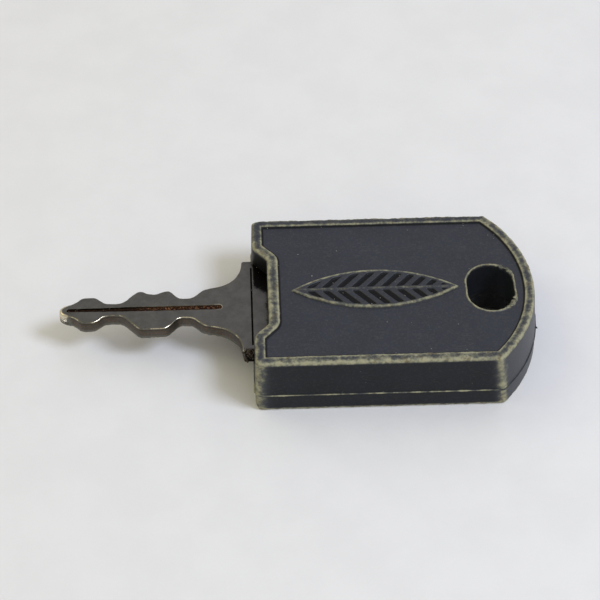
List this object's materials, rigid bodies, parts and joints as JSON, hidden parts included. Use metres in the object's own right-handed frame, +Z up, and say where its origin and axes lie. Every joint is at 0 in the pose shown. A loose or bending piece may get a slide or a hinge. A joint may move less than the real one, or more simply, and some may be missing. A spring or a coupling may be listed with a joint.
{
  "type": "key",
  "caption": "Flat bitted key with a grooved metal blade and a thick moulded head that has a raised rim, a sunk panel and an oval ring hole.",
  "frame": {"origin": "on the surface that the head lies on, under the middle of the key's overall box", "axes": "+X from the blade's tip to the ring hole, +Z up out of the face with the sunk panel and leaf"},
  "size_m": [0.0654, 0.0272, 0.0095],
  "materials": {
    "plated_brass": "dulled nickel plate, bright along the edges",
    "head_plastic": "moulded, worn pale along the edges",
    "capsule_glass": "clear"
  },
  "bodies": {
    "root": {"key_blade": "plated_brass", "upper_shell": "head_plastic", "lower_cover": "head_plastic", "transponder": "capsule_glass"}
  },
  "joints": []
}
